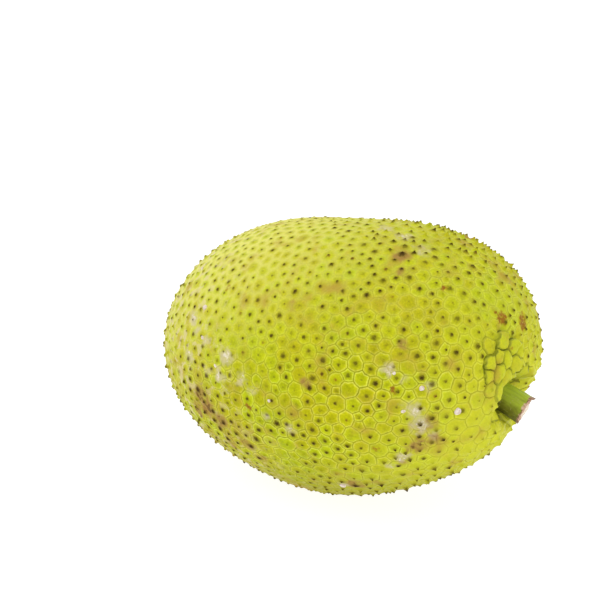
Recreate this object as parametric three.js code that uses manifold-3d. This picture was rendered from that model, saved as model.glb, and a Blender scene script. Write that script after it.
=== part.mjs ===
// A breadfruit lying on its side, with the stub of its stalk.
// The fruit is one solid, an egg-shaped body with a puckered hollow at its stalk end and a small flat
// where it rests. The stalk stands in that hollow and is a second solid.
// Millimetres, +Z up, +X towards the stalk. The origin is the middle of the flat that the fruit rests on.
import * as THREE from "three";
import { mergeVertices } from "three/addons/utils/BufferGeometryUtils.js";
import Module from "manifold-3d";

const wasm = await Module();
wasm.setup();

// The body: half lengths along its own axis on each side of its widest girth, and half its width
// and height.
const BLOSSOM_HALF = 89;
const STALK_HALF = 94;
const HALF_WIDTH = 67;
const HALF_HEIGHT = 63;
// How square each end is: 2 is an ellipse, and more is blunter.
const BLOSSOM_BLUNTNESS = 2.1;
const STALK_BLUNTNESS = 2.45;
// The body lies with its stalk end raised a little.
const LIE_ANGLE = THREE.MathUtils.degToRad(9);
// What the weight of the fruit presses flat.
const PRESSED_DEPTH = 1.6;

// The hollow that the stalk stands in, which is wider than it is tall.
const HOLLOW_TOWARDS = new THREE.Vector3(87.6, 5, -20.2).normalize();
const HOLLOW_HALF_WIDTH = 29;
const HOLLOW_HALF_HEIGHT = 13.5;
const HOLLOW_SQUARENESS = 2.8; // 2 is an ellipse, and more has fuller corners
const HOLLOW_ROLL = THREE.MathUtils.degToRad(-17); // turns its width from the horizontal
const HOLLOW_DEPTH = 12.8;
const HOLLOW_FLOOR = 0.38; // the share of the hollow that is floor
const PUCKERS = 5; // folds round the hollow
const PUCKER_SHARE = 0.08; // how far a fold moves the hollow's edge, as a share of its size
const PUCKER_TURN = 1; // radians that turn the folds round the hollow
// One cleft runs out of the hollow, up the shoulder.
const CLEFT_START = 8; // from the middle of the hollow
const CLEFT_LENGTH = 46;
const CLEFT_WIDTH = 5;
const CLEFT_DEPTH = 4.5;
const CLEFT_TURN = THREE.MathUtils.degToRad(130); // from the side, round the hollow

// The stalk, from its foot in the hollow to the face where it was cut.
const STALK_TOWARDS = new THREE.Vector3(77, -1, -12.2).normalize(); // where its foot is, in the hollow
const STALK_LENGTH = 23.2;
const STALK_RADIUS = 7;
const FOOT_RADIUS = 8;
const LIP_RADIUS = 7.2; // the torn rim of the cut
const LIP_ROUNDING = 0.5;
const STALK_DROOP = THREE.MathUtils.degToRad(20); // below the horizontal
const STALK_TURN = THREE.MathUtils.degToRad(5); // about the vertical
const STALK_BEND = 1.2; // how far the middle of the stalk stands off a straight line
const SOCKET_DEPTH = 3.5; // how far the foot is let into the floor of the hollow
const CLEARANCE = 0.3;

// Shallow swellings and flats of the body: where each lies, seen from the middle of the fruit,
// how far it stands out, and the angle in degrees that it spreads over.
const SWELLINGS = [
  { towards: [0.72, 0.66, 0.19], height: 2.6, spread: 26 }, // the far shoulder
  { towards: [0.7, 0.28, -0.66], height: -4.4, spread: 26 }, // under the stalk
  { towards: [0.06, -0.3, -0.95], height: 4.4, spread: 30 }, // the belly that it rests on
  { towards: [-0.8, -0.35, -0.5], height: -1.8, spread: 24 }, // under the blossom end
  { towards: [0.1, 0.3, 0.95], height: -2.6, spread: 32 }, // the flattened back
];

const smooth = (t) => THREE.MathUtils.smoothstep(t, 0, 1);

// The plain egg shape: its radius in the direction of the unit vector u.
function eggRadius(u) {
  const half = u.x > 0 ? STALK_HALF : BLOSSOM_HALF;
  const power = u.x > 0 ? STALK_BLUNTNESS : BLOSSOM_BLUNTNESS;
  const along = Math.abs(u.x / half);
  const across = Math.hypot(u.y / HALF_WIDTH, u.z / HALF_HEIGHT);
  return (along ** power + across ** power) ** (-1 / power);
}

function swelling(u) {
  return SWELLINGS.reduce((sum, s) => {
    const centre = new THREE.Vector3(...s.towards).normalize();
    const angle = THREE.MathUtils.radToDeg(u.angleTo(centre));
    return sum + s.height * Math.exp(-((angle / s.spread) ** 2));
  }, 0);
}

// Two directions square to the hollow's axis: sideways and upwards.
const hollowSide = new THREE.Vector3(0, 0, 1).cross(HOLLOW_TOWARDS).normalize();
const hollowUp = HOLLOW_TOWARDS.clone().cross(hollowSide);

// How far the surface sinks in the direction u, for the hollow and its cleft.
function sinking(u, radius) {
  if (u.dot(HOLLOW_TOWARDS) <= 0) return 0;
  const side = u.dot(hollowSide) * radius;
  const up = u.dot(hollowUp) * radius;
  const wide = (side * Math.cos(HOLLOW_ROLL) + up * Math.sin(HOLLOW_ROLL)) / HOLLOW_HALF_WIDTH;
  const tall = (up * Math.cos(HOLLOW_ROLL) - side * Math.sin(HOLLOW_ROLL)) / HOLLOW_HALF_HEIGHT;
  const out = (Math.abs(wide) ** HOLLOW_SQUARENESS + Math.abs(tall) ** HOLLOW_SQUARENESS)
    ** (1 / HOLLOW_SQUARENESS);
  const turn = Math.atan2(tall, wide);
  const edge = 1 + PUCKER_SHARE * Math.cos(PUCKERS * turn + PUCKER_TURN);
  const wall = (out / edge - HOLLOW_FLOOR) / (1 - HOLLOW_FLOOR);
  const hollow = HOLLOW_DEPTH * (1 - smooth(wall));
  const along = side * Math.cos(CLEFT_TURN) + up * Math.sin(CLEFT_TURN);
  const beside = -side * Math.sin(CLEFT_TURN) + up * Math.cos(CLEFT_TURN);
  const fading = smooth(along / CLEFT_START) * (1 - smooth(along / CLEFT_LENGTH));
  const cleft = CLEFT_DEPTH * fading * Math.exp(-((beside / CLEFT_WIDTH) ** 2));
  return hollow + cleft;
}

function surfacePoint(u) {
  const radius = eggRadius(u) + swelling(u);
  return u.clone().multiplyScalar(radius - sinking(u, radius));
}

// Draws the directions of an even sphere together round the hollow, where the surface bends most.
const CROWDING = 0.72;
function crowd(u) {
  const angle = u.angleTo(HOLLOW_TOWARDS);
  if (angle < 1e-6 || Math.PI - angle < 1e-6) return u;
  const turned = angle - CROWDING * Math.sin(angle);
  const axis = HOLLOW_TOWARDS.clone().cross(u).normalize();
  return HOLLOW_TOWARDS.clone().applyAxisAngle(axis, turned);
}

// A geometry with its shared vertices merged, as a manifold solid.
function solid(geometry) {
  geometry.deleteAttribute("normal");
  geometry.deleteAttribute("uv");
  const merged = mergeVertices(geometry, 1e-3);
  return new wasm.Manifold(new wasm.Mesh({
    numProp: 3,
    vertProperties: merged.attributes.position.array,
    triVerts: new Uint32Array(merged.index.array),
  }));
}

function geometryOf(manifold) {
  const mesh = manifold.getMesh();
  const geometry = new THREE.BufferGeometry();
  geometry.setAttribute("position", new THREE.BufferAttribute(mesh.vertProperties, 3));
  geometry.setIndex(new THREE.BufferAttribute(mesh.triVerts, 1));
  geometry.computeVertexNormals();
  return geometry;
}

function moveVertices(geometry, move) {
  const position = geometry.attributes.position;
  const point = new THREE.Vector3();
  for (let i = 0; i < position.count; i++) {
    point.fromBufferAttribute(position, i);
    const moved = move(point);
    position.setXYZ(i, moved.x, moved.y, moved.z);
  }
  return geometry;
}

// The body about its own middle, turned to lie as it rests.
const SPHERE_DETAIL = 20;
const lie = new THREE.Matrix4().makeRotationY(-LIE_ANGLE);
function bodyGeometry() {
  const sphere = new THREE.IcosahedronGeometry(1, SPHERE_DETAIL);
  const shaped = moveVertices(sphere, (p) => surfacePoint(crowd(p.clone().normalize())));
  return shaped.applyMatrix4(lie);
}

// A stalk that stands on +Z with the middle of its foot at the origin, bowed a little to one side.
// grown makes it that much larger all over, to cut its own socket.
const STALK_SIDES = 28;
function stalkGeometry(grown = 0) {
  const rings = [
    [0, FOOT_RADIUS],
    [0.12, FOOT_RADIUS * 0.95],
    [0.27, STALK_RADIUS * 1.04],
    [0.45, STALK_RADIUS * 0.98],
    [0.65, STALK_RADIUS],
    [0.85, STALK_RADIUS * 1.03],
    [0.96, LIP_RADIUS],
    [1, LIP_RADIUS - LIP_ROUNDING],
  ];
  const outline = rings.map(([share, radius]) =>
    new THREE.Vector2(radius + grown, share * (STALK_LENGTH + 2 * grown) - grown));
  const foot = new THREE.Vector2(0, outline[0].y);
  const cut = new THREE.Vector2(0, outline.at(-1).y);
  const lathe = new THREE.LatheGeometry([foot, ...outline, cut], STALK_SIDES).rotateX(Math.PI / 2);
  return moveVertices(lathe, (p) => {
    const share = p.z / STALK_LENGTH;
    const bow = 4 * share * (1 - share); // 0 at both ends and 1 half way
    return new THREE.Vector3(p.x, p.y + STALK_BEND * bow, p.z);
  });
}

// Where the stalk stands, about the middle of the body: let into the floor of the hollow.
const floor = surfacePoint(STALK_TOWARDS).applyMatrix4(lie);
const stalkTowards = new THREE.Vector3(1, 0, 0)
  .applyEuler(new THREE.Euler(0, STALK_DROOP, STALK_TURN, "ZYX"));
const stalkFoot = floor.addScaledVector(stalkTowards, -SOCKET_DEPTH);
const stalkStance = new THREE.Matrix4()
  .makeRotationFromQuaternion(
    new THREE.Quaternion().setFromUnitVectors(new THREE.Vector3(0, 0, 1), stalkTowards))
  .setPosition(stalkFoot);

const whole = solid(bodyGeometry());
const pressedAt = whole.boundingBox().min[2] + PRESSED_DEPTH;
const ground = new THREE.BoxGeometry(4 * STALK_HALF, 4 * HALF_WIDTH, 2 * HALF_HEIGHT)
  .translate(0, 0, pressedAt - HALF_HEIGHT);
const socket = stalkGeometry(CLEARANCE).applyMatrix4(stalkStance);
const fruit = whole.subtract(solid(ground)).subtract(solid(socket));

// The middle of the flat, which becomes the origin.
function flatMiddle(geometry) {
  const position = geometry.attributes.position;
  const flat = new THREE.Box3();
  for (let i = 0; i < position.count; i++) {
    const p = new THREE.Vector3().fromBufferAttribute(position, i);
    if (p.z < pressedAt + 1e-3) flat.expandByPoint(p);
  }
  return flat.getCenter(new THREE.Vector3());
}

const skin = new THREE.MeshStandardMaterial({ color: "#c2c93a", roughness: 0.55, metalness: 0 });
const green = new THREE.MeshStandardMaterial({ color: "#7d8f2c", roughness: 0.6, metalness: 0 });

const breadfruit = new THREE.Group();
const fruitMesh = new THREE.Mesh(geometryOf(fruit), skin);
fruitMesh.name = "fruit";
const stalkMesh = new THREE.Mesh(stalkGeometry(), green);
stalkMesh.name = "stalk";
stalkMesh.applyMatrix4(stalkStance);
const onItsFlat = new THREE.Group();
onItsFlat.position.copy(flatMiddle(fruitMesh.geometry)).negate();
onItsFlat.add(fruitMesh, stalkMesh);
breadfruit.add(onItsFlat);

export default breadfruit;
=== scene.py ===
# %% [markdown]
# # A breadfruit on a table
#
# This lesson draws the looks of a breadfruit round its CAD model. The CAD model holds the true size
# and place of the fruit and of its stalk, and it is smooth. Here it gets its skin of cells, its
# thorns, its bark and its colours.
#
# A breadfruit isn't one berry. Its skin is the outside of hundreds of small fruits that grew
# together, and each one shows as a cell with a groove round it and the dried tip of its flower.

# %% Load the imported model
import bmesh
import bpy
import math
import numpy
import random
from mathutils import Matrix, Vector, noise
from mathutils.bvhtree import BVHTree


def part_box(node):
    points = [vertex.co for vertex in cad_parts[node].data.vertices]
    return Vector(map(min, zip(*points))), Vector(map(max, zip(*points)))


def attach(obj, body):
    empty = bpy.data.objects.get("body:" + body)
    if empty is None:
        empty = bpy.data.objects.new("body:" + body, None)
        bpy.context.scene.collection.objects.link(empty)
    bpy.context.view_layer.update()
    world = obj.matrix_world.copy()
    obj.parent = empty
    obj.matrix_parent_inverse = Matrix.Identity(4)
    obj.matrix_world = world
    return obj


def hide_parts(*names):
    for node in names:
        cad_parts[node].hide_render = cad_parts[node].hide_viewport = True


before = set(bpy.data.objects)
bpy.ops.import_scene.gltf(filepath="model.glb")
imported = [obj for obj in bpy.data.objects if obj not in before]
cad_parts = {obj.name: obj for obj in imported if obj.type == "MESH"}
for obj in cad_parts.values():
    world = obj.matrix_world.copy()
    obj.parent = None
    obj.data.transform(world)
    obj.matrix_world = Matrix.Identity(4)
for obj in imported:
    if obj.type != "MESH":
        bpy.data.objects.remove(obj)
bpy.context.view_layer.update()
MM = 0.001

# %% [markdown]
# ## Small helpers
#
# Blender's colours are linear, and a painter's hex values are sRGB, so one function turns them.
# Every finished mesh becomes an object at the origin in the same way. Every material is built by
# one function that adds a node, sets it and links it.

# %% Helpers for meshes, colours and nodes
def linear(hex_value, alpha=1.0):
    """An sRGB hex value as a linear colour."""
    parts = [int(hex_value[i:i + 2], 16) / 255 for i in (0, 2, 4)]
    return [p / 12.92 if p <= 0.04045 else ((p + 0.055) / 1.055) ** 2.4 for p in parts] + [alpha]


def finished(bm, name, material=None):
    """The mesh as a smooth-shaded object at the origin."""
    mesh = bpy.data.meshes.new(name)
    bm.to_mesh(mesh)
    bm.free()
    mesh.shade_smooth()
    if material:
        mesh.materials.append(material)
    thing = bpy.data.objects.new(name, mesh)
    bpy.context.scene.collection.objects.link(thing)
    return thing


def new_material(name):
    """An empty material and its node tree."""
    material = bpy.data.materials.new(name)
    material.use_nodes = True
    material.node_tree.nodes.clear()
    return material, material.node_tree


def add(tree, kind, inputs=(), stops=(), **settings):
    """Adds a node. inputs are pairs of a socket and a value or an output to link to it."""
    node = tree.nodes.new("ShaderNode" + kind)
    for name, value in settings.items():
        setattr(node, name, value)
    for index, (place, colour) in enumerate(stops):
        elements = node.color_ramp.elements
        stop = elements[index] if index < 2 else elements.new(place)
        stop.position, stop.color = place, colour
    for socket, value in inputs:
        if isinstance(value, bpy.types.NodeSocket):
            tree.links.new(value, node.inputs[socket])
        else:
            node.inputs[socket].default_value = value
    return node


def smooth_step(value, low, high):
    """0 below low, 1 above high, and a soft rise between them."""
    share = min(max((value - low) / (high - low), 0.0), 1.0)
    return share * share * (3 - 2 * share)


# %% [markdown]
# ## The studio
#
# The camera looks a little down on the fruit, from the side that its stalk end is turned to. It
# stands about an arm's length away behind a short telephoto lens, so the fruit keeps its true
# shape. The fruit lies right of the middle and low in the frame.

# %% The camera
fruit_low, fruit_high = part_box("fruit")
middle = (fruit_low + fruit_high) / 2
CAMERA_TURN = math.radians(33)
CAMERA_RISE = math.radians(22)
CAMERA_DISTANCE = 700 * MM
CAMERA_LENS = 89.7
FRUIT_RIGHT = 20.6 * MM
FRUIT_BELOW = 23.0 * MM

back = Vector((
    math.sin(CAMERA_TURN) * math.cos(CAMERA_RISE),
    -math.cos(CAMERA_TURN) * math.cos(CAMERA_RISE),
    math.sin(CAMERA_RISE),
))
right = Vector((math.cos(CAMERA_TURN), math.sin(CAMERA_TURN), 0))
camera = bpy.data.objects.new("camera", bpy.data.cameras.new("camera"))
bpy.context.scene.collection.objects.link(camera)
camera.data.lens = CAMERA_LENS
camera.location = middle - right * FRUIT_RIGHT + back.cross(right) * FRUIT_BELOW + back * CAMERA_DISTANCE
camera.rotation_euler = back.to_track_quat("Z", "Y").to_euler()
bpy.context.scene.camera = camera
print("camera at, mm:", [round(c / MM) for c in camera.location])

# %% [markdown]
# A plain pale floor and big soft lamps give the even light of a product picture. The largest lamp
# hangs over the fruit's left shoulder, and the white world fills the shadows. The floor is a sheet
# of paper on a light table, so it glows a little, and the fruit's underside isn't dark.

# %% The floor and the lights
FLOOR_SIDE = 6.0
floor_material, tree = new_material("pale_paper")
shader = add(tree, "BsdfPrincipled", [
    ("Base Color", linear("90908E")),
    ("Roughness", 0.9),
    ("Emission Color", linear("FFFFFE")),
    ("Emission Strength", 0.88),
])
add(tree, "OutputMaterial", [("Surface", shader.outputs[0])])
bm = bmesh.new()
bmesh.ops.create_grid(bm, x_segments=8, y_segments=8, size=FLOOR_SIDE / 2)
floor = finished(bm, "floor", floor_material)

world = bpy.data.worlds.new("studio")
world.use_nodes = True
world.node_tree.nodes["Background"].inputs["Color"].default_value = linear("FFFFFF")
world.node_tree.nodes["Background"].inputs["Strength"].default_value = 1.0
bpy.context.scene.world = world
bpy.context.scene.view_settings.view_transform = "Standard"


def soft_lamp(name, turn, rise, distance, side, power):
    """A square lamp that looks at the fruit from a turn and a rise seen from its middle."""
    lamp = bpy.data.objects.new(name, bpy.data.lights.new(name, "AREA"))
    bpy.context.scene.collection.objects.link(lamp)
    lamp.data.size = side
    lamp.data.energy = power
    turn, rise = math.radians(turn), math.radians(rise)
    away = Vector((math.sin(turn) * math.cos(rise), -math.cos(turn) * math.cos(rise), math.sin(rise)))
    lamp.location = middle + away * distance
    lamp.rotation_euler = away.to_track_quat("Z", "Y").to_euler()
    return lamp


soft_lamp("key_lamp", turn=-40, rise=62, distance=1.2, side=1.0, power=3.4)
soft_lamp("fill_lamp", turn=80, rise=35, distance=1.4, side=1.0, power=1.2)

# %% [markdown]
# ## The surface under the skin
#
# The cells grow on the CAD body. A ray from the middle of the fruit finds it in any direction. The
# CAD body is faceted, and has a socket for the stalk, so two bodies are read. The first is the
# convex hull of the CAD body, which bridges the hollow at the stalk end. The second is the CAD body
# itself. How far the second lies under the first is the depth of the hollow, which is averaged over
# a few rays to round its facets, and which stops where the socket begins.
#
# Above the stalk the hollow is faded out, because pillows of skin fill it there. In front of the
# stalk its lip is let down by a shallow notch, and the stalk shows over it.
#
# The hull operator doesn't promise an order for its triangles. The cells will be made from such a
# list, and the dice are thrown for one after the other, so the list is put in order here.

# %% Find the surface in any direction
HOLLOW_DEPTH = 14.5 * MM
RAYS_AROUND = 6  # how many extra rays go round the first
RAY_SPREAD = 0.022  # how far they turn from the first, in radians
UPPER_LIP = (69 * MM, 77 * MM)  # pillows of skin fill the hollow above these heights
LIP_SLOPE = 0.3  # how much lower the pillows start for each length to the left
NOTCH_MIDDLE = Vector((97, -6, 70)) * MM
NOTCH_REACH = 8 * MM
NOTCH_DEPTH = 3 * MM


def merged_copy(node):
    """A CAD node's mesh with its loose triangles joined."""
    bm = bmesh.new()
    bm.from_mesh(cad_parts[node].data)
    bmesh.ops.remove_doubles(bm, verts=bm.verts, dist=0.02 * MM)
    return bm


def hull_of(points):
    """The convex hull of some points, with its triangles in the same order on every run."""
    rough = bmesh.new()
    for point in points:
        rough.verts.new(point)
    bmesh.ops.convex_hull(rough, input=rough.verts)
    rough.verts.index_update()
    triangles = sorted(sorted(vert.index for vert in face.verts) for face in rough.faces)
    rough.free()
    bm = bmesh.new()
    verts = [bm.verts.new(point) for point in points]
    for corners in triangles:
        bm.faces.new([verts[corner] for corner in corners])
    bmesh.ops.recalc_face_normals(bm, faces=bm.faces)
    return bm


body_bm = merged_copy("fruit")
body_tree = BVHTree.FromBMesh(body_bm)
shell_bm = hull_of([vert.co for vert in body_bm.verts])
shell_tree = BVHTree.FromBMesh(shell_bm)
body_bm.free()
shell_bm.free()


def reach(surface, direction):
    """How far a surface is from the middle of the fruit in a direction."""
    hit = surface.ray_cast(middle, direction)[0]
    return (hit - middle).length


def skin_point(direction):
    """The place of the skin in a direction from the middle of the fruit."""
    outer = reach(shell_tree, direction)
    side = direction.orthogonal().normalized()
    rays = [direction]
    for step in range(RAYS_AROUND):
        turned = Matrix.Rotation(step * math.tau / RAYS_AROUND, 3, direction) @ side
        rays.append((direction + turned * RAY_SPREAD).normalized())
    depths = [min(max(reach(shell_tree, ray) - reach(body_tree, ray), 0), HOLLOW_DEPTH) for ray in rays]
    outer_point = middle + direction * outer
    lip_height = outer_point.z - LIP_SLOPE * max(outer_point.y, 0)
    hollow = sum(depths) / len(depths) * (1 - smooth_step(lip_height, *UPPER_LIP))
    notch = NOTCH_DEPTH * math.exp(-(((outer_point - NOTCH_MIDDLE).length / NOTCH_REACH) ** 2))
    return middle + direction * (outer - hollow - notch)


print("skin over the top, mm:", round(skin_point(Vector((0, 0, 1))).z / MM, 1))

# %% [markdown]
# The stalk stands in the hollow. The CAD stalk is a plain peg, so the way that it points is kept
# here as two angles, and its two ends are read from its points: the foot is where they lie furthest
# back along that way, and the cut is where they lie furthest out.

# %% Find the two ends of the stalk
STALK_DROOP = math.radians(20)  # below the horizontal
STALK_TURN = math.radians(5)  # about the vertical
stalk_way = Vector((
    math.cos(STALK_DROOP) * math.cos(STALK_TURN),
    math.cos(STALK_DROOP) * math.sin(STALK_TURN),
    -math.sin(STALK_DROOP),
))
stalk_bm = merged_copy("stalk")
stalk_points = sorted((vert.co.copy() for vert in stalk_bm.verts), key=stalk_way.dot)
stalk_bm.free()
END_POINTS = 20  # enough to go round one end of the peg
stalk_foot = sum(stalk_points[:END_POINTS], Vector()) / END_POINTS
stalk_cut = sum(stalk_points[-END_POINTS:], Vector()) / END_POINTS
print("stalk, mm: from", [round(c / MM, 1) for c in stalk_foot], "to", [round(c / MM, 1) for c in stalk_cut])

# %% [markdown]
# ## Where the cells lie
#
# The small fruits grow about evenly, and smaller over the top. Points are thrown at the body at
# random, and one is kept only where no other is too near: that is how a crowd of growing things
# shares a surface.
#
# Round the stalk it is different. In the hollow, and on the shoulder above it, the small fruits were
# squeezed, so they swelled up like pillows. On the brow below, they had room. The pillows that are
# seen best are placed first, and the dice fill in the rest.

# %% Scatter the middles of the cells
CELL_PITCH = 5.95 * MM  # from one cell's middle to the next, at the fruit's girth
PACKING = 0.776  # the nearest neighbour of points thrown at random, as a share of an even pitch
THROWS = 60000
PILLOWS = [  # mm, from the CAD's origin
    (90, -16, 93), (91, -17, 87), (92, -21, 82), (93, -12, 83), (94, -6, 86), (95, -7, 77), (96, 3, 79),
]
BROW_CELLS = [(93, -19, 76), (92, -21, 67), (90, -27, 72)]
SQUEEZE_MIDDLE = Vector((93, -8, 83)) * MM
SQUEEZE_REACH = (10 * MM, 16 * MM)  # where the pillows are, and where they end
BROW_REACH = (24 * MM, 50 * MM)  # from the stalk's foot: where the roomy cells are, and where they end
HOLLOW_EDGE = (1.5 * MM, 6 * MM)  # how deep the hollow is where squeezing starts, and where it is full
BROW_ROOM = 0.18  # how much wider the cells of the brow are, as a share
PILLOW_ROOM = 0.1  # how much wider the squeezed cells are
MOST_CELLS = 4000
half_length = (fruit_high.x - fruit_low.x) / 2
half_height = (fruit_high.z - fruit_low.z) / 2


def along_of(point):
    """How far a place is towards the stalk end: -1 at the blossom end and 1 at the stalk end."""
    return (point.x - middle.x) / half_length


def up_of(point):
    """How high a place is: -1 at the table and 1 at the top."""
    return (point.z - middle.z) / half_height


def crowded_at(direction):
    """How squeezed the cells are in a direction: 1 in the hollow and on the shoulder above it."""
    outer = reach(shell_tree, direction)
    point = middle + direction * outer
    beside = 1 - smooth_step((point - SQUEEZE_MIDDLE).length, *SQUEEZE_REACH)
    return max(smooth_step(outer - reach(body_tree, direction), *HOLLOW_EDGE), beside)


def brow_at(point):
    """1 on the brow of the hollow, where the cells had room, and 0 elsewhere."""
    near = 1 - smooth_step((point - stalk_foot).length, *BROW_REACH)
    return near * (1 - smooth_step(up_of(point), 0.0, 0.55))


def pitch_at(point, direction):
    """The pitch of the cells at a place: wide low at the stalk end, narrow elsewhere low and on top."""
    along, up = along_of(point), up_of(point)
    even = CELL_PITCH * (1 + along * (0.07 - 0.09 * min(max(2 * up, -1), 1)) - 0.09 * up)
    return even * (1 + BROW_ROOM * brow_at(point)) * (1 + PILLOW_ROOM * crowded_at(direction))


SEED = 4
dice = random.Random(SEED)
noise.seed_set(SEED)  # the vector noise below is shifted by random offsets, which this fixes
directions = [(Vector(place) * MM - middle).normalized() for place in PILLOWS + BROW_CELLS]
kept = numpy.zeros((MOST_CELLS, 3))
for index, direction in enumerate(directions):
    kept[index] = middle + direction * reach(shell_tree, direction)
for throw in range(THROWS):
    direction = Vector((dice.gauss(0, 1), dice.gauss(0, 1), dice.gauss(0, 1))).normalized()
    point = middle + direction * reach(shell_tree, direction)
    count = len(directions)
    gaps = numpy.linalg.norm(kept[:count] - point[:], axis=1)
    if gaps.min() < PACKING * pitch_at(point, direction):
        continue
    kept[count] = point[:]
    directions.append(direction)
print("cells:", len(directions))

# %% [markdown]
# The convex hull of the directions is a net with a triangle between every three neighbours. The
# points push each other apart as cells do when they swell: laid on the body, each moves towards the
# middle of its neighbours, and then the net is drawn again.
#
# The cells are the dual of that net. Poking each triangle puts a point in its middle, turning each
# old edge joins the middles of two triangles, and dissolving the old points leaves one polygon round
# each of them. Every edge then gets a point half way, so that a groove can bend.

# %% Turn the points into a web of polygons
EVENING_STEPS = 3
for step in range(EVENING_STEPS):
    net = hull_of(directions)
    for vert in net.verts:
        vert.co *= reach(shell_tree, vert.co)
    axes = {"use_axis_x": True, "use_axis_y": True, "use_axis_z": True}
    bmesh.ops.smooth_vert(net, verts=net.verts, factor=0.5, **axes)
    directions = [vert.co.normalized() for vert in net.verts]
    net.free()
web = hull_of(directions)
seeds = web.verts[:]
net_edges = web.edges[:]
bmesh.ops.poke(web, faces=web.faces[:])
bmesh.ops.rotate_edges(web, edges=net_edges, use_ccw=False)
bmesh.ops.dissolve_verts(web, verts=seeds)
bmesh.ops.bisect_edges(web, edges=web.edges[:], cuts=1)
bmesh.ops.recalc_face_normals(web, faces=web.faces)
sides = [len(face.verts) // 2 for face in web.faces]
print("cells:", len(web.faces), "sides from", min(sides), "to", max(sides))

# %% [markdown]
# ## Marks on the skin
#
# A picked breadfruit is never clean. White latex weeps from every scratch and dries to a greyish
# film, tips that were knocked off leave brown scabs, and the sun and rubbing leave rusty spots. Each
# mark lies at a distance along the fruit from its middle, and at a turn round its long axis from
# the side. The marks on the far sides are thrown with seeded dice.

# %% Where the marks are
LATEX, BROWN, RUST = 0, 1, 2
MARKS = [
    # kind, mm along, degrees round, mm of radius, strength
    (LATEX, -49, 24, 6, 0.9),
    (LATEX, -44, 19, 5, 0.8),
    (LATEX, -36, 16, 5, 0.8),
    (LATEX, -22, 13, 6, 0.9),
    (LATEX, -47, 8, 6, 0.9),
    (LATEX, -33, 5, 5, 0.8),
    (LATEX, -12, 7, 6, 0.9),
    (LATEX, -25, 4, 6, 1.0),
    (LATEX, -20, 0, 4, 0.7),
    (LATEX, -6, 3, 5, 0.8),
    (LATEX, 1, -6, 4, 0.8),
    (LATEX, 13, -9, 5, 0.8),
    (LATEX, 55, 24, 5, 1.0),
    (LATEX, 61, 22, 4, 0.7),
    (LATEX, 70, 20, 5, 0.8),
    (LATEX, 66, 8, 7, 1.0),
    (LATEX, 68, 0, 7, 1.0),
    (LATEX, 72, -6, 5, 0.7),
    (LATEX, 60, -20, 6, 1.0),
    (LATEX, 54, -25, 5, 0.8),
    (LATEX, 29, -42, 5, 0.9),
    (LATEX, 22, 88, 8, 0.8),
    (LATEX, 34, 85, 7, 0.9),
    (LATEX, 46, 80, 7, 0.8),
    (BROWN, -37, -9, 20, 0.58),
    (BROWN, -14, -18, 18, 0.52),
    (BROWN, 12, -5, 20, 0.38),
    (BROWN, 66, -4, 14, 0.48),
    (BROWN, -42, -17, 6, 1.1),
    (BROWN, -39, -8, 7, 1.1),
    (BROWN, -34, -13, 7, 1.2),
    (BROWN, -26, -17, 7, 1.0),
    (BROWN, -24, -29, 5, 0.8),
    (BROWN, -14, -24, 6, 1.0),
    (BROWN, -8, -31, 5, 0.8),
    (BROWN, 21, 12, 4, 1.0),
    (BROWN, 71, 1, 5, 0.9),
    (BROWN, 72, -9, 5, 0.9),
    (BROWN, 66, -12, 7, 1.0),
    (BROWN, 60, -24, 5, 0.8),
    (BROWN, 40, 72, 6, 1.0),
    (BROWN, 44, 64, 4, 0.8),
    (BROWN, 58, 35, 4, 0.9),
    (BROWN, 34, -42, 7, 1.0),
    (BROWN, 5, 38, 5, 0.6),
    (BROWN, 45, -40, 5, 0.7),
    (RUST, 83, 79, 5, 1.0),
    (RUST, 86, 103, 6, 1.0),
    (RUST, 63, 66, 3, 0.9),
    (RUST, -33, 40, 3, 0.8),
    (RUST, 58, 16, 3, 0.9),
    (RUST, -8, -4, 3, 0.9),
    (RUST, 50, -13, 3, 0.9),
    (RUST, 88, 71, 3, 0.7),
    (RUST, 44, 2, 3, 0.6),
]
FAR_MARKS = 34
for mark in range(FAR_MARKS):
    kind = dice.choice([LATEX, LATEX, LATEX, BROWN, BROWN, RUST])
    along, turn = dice.uniform(-80, 85), dice.uniform(110, 300)
    MARKS.append((kind, along, turn, dice.uniform(3, 9), dice.uniform(0.6, 1.0)))


def axis_point(along):
    """A point on the fruit's long axis, so many millimetres along from its middle."""
    return middle + Vector((along * MM, 0, 0))


def outwards_at(degrees):
    """The direction out of the long axis at a turn round it."""
    turn = math.radians(degrees)
    return Vector((0, -math.cos(turn), math.sin(turn)))


class Mark:
    """One mark: its kind, its place on the skin, its radius and how strong it is."""

    def __init__(self, kind, along, turn, radius, strength):
        self.kind = kind
        self.radius = radius * MM
        self.strength = strength
        self.place = shell_tree.ray_cast(axis_point(along), outwards_at(turn))[0]


marks = [Mark(*mark) for mark in MARKS]
print("marks:", len(marks))

# %% [markdown]
# ## What each cell looks like
#
# A cell is a low table with a soft pale rim, and what its flower left stands in its middle: on some
# a dark dried tip, on others only a greenish nub, and on a few a rusty one. Towards the stalk end
# the nubs grow to thorns, and low at the blossom end they are chafed to stubs. Over the top and
# towards the blossom end, the grooves fade until the skin is almost smooth, and they are fainter
# underneath too. The squeezed cells round the stalk are pillows with almost no tip.

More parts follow.
